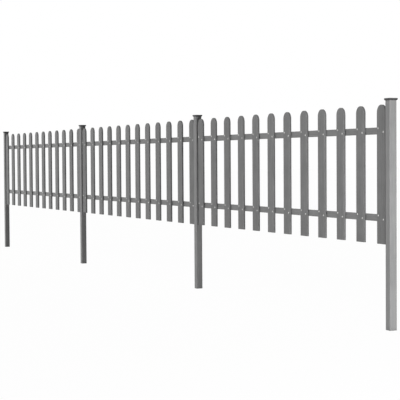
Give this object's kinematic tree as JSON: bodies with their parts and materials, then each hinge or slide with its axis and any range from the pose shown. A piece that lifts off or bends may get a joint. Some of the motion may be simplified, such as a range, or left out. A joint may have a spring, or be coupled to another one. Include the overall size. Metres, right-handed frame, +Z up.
{
  "type": "picket fence",
  "caption": "Low grey picket fence: bays of round-topped boards on horizontal rails that run into slim square posts with flat, flared caps.",
  "frame": {"origin": "centre of the foot of post_1, the far end post in the picture, at ground level", "axes": "+X along the fence from post_1 to post_4, -Y the side that the pickets face, +Z up"},
  "size_m": [6.01, 0.045, 0.99],
  "materials": {
    "grey_composite": "matte",
    "cap_plastic": "matte",
    "screw_steel": "satin"
  },
  "bodies": {
    "root": {"post_1": "grey_composite", "post_1_cap": "cap_plastic", "post_2": "grey_composite", "post_2_cap": "cap_plastic", "post_3": "grey_composite", "post_3_cap": "cap_plastic", "post_4": "grey_composite", "post_4_cap": "cap_plastic", "panel_1_pickets": "grey_composite", "panel_1_top_rail": "grey_composite", "panel_1_bottom_rail": "grey_composite", "panel_2_pickets": "grey_composite", "panel_2_top_rail": "grey_composite", "panel_2_bottom_rail": "grey_composite", "panel_3_pickets": "grey_composite", "panel_3_top_rail": "grey_composite", "panel_3_bottom_rail": "grey_composite"}
  },
  "joints": []
}
